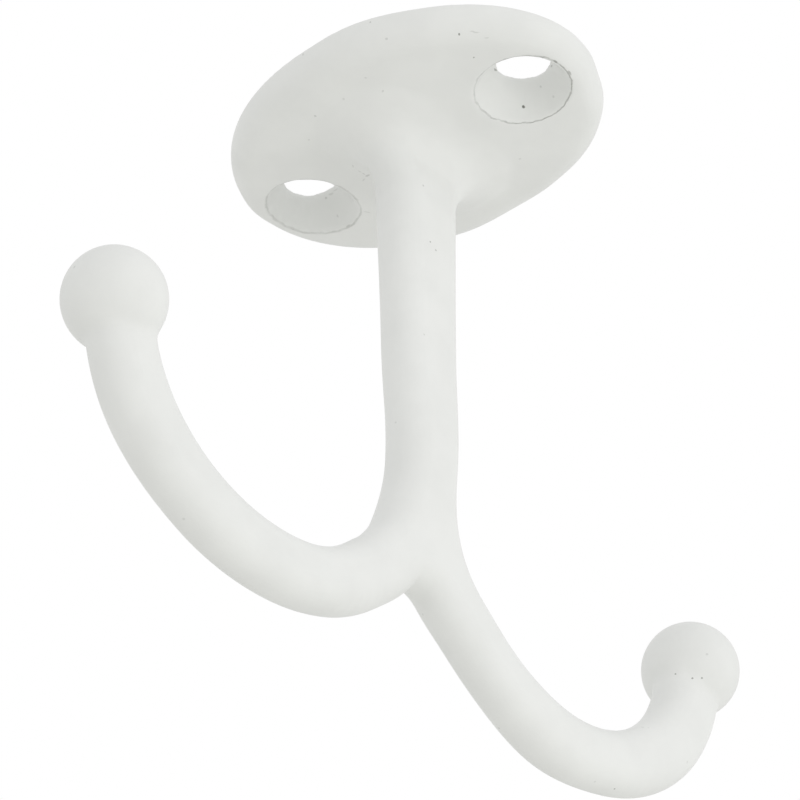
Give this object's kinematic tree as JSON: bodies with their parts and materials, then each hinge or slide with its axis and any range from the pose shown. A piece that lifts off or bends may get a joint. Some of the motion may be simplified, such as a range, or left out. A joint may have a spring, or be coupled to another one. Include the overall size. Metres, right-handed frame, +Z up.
{
  "type": "undershelf hook",
  "caption": "Coated cast hook that screws up under a shelf: an oval plate with countersunk holes, a flared stem and mirrored curved arms ending in balls.",
  "frame": {"origin": "centre of the plate's flat back, which meets the underside of the shelf", "axes": "+Z up into the shelf, X across both arms, Y along the oval plate and through both screw holes; the hook hangs down -Z"},
  "size_m": [0.0684, 0.0305, 0.0497],
  "materials": {
    "coated_casting": "satin white coating over a slightly lumpy casting"
  },
  "bodies": {
    "root": {"undershelf_hook": "coated_casting"}
  },
  "joints": []
}
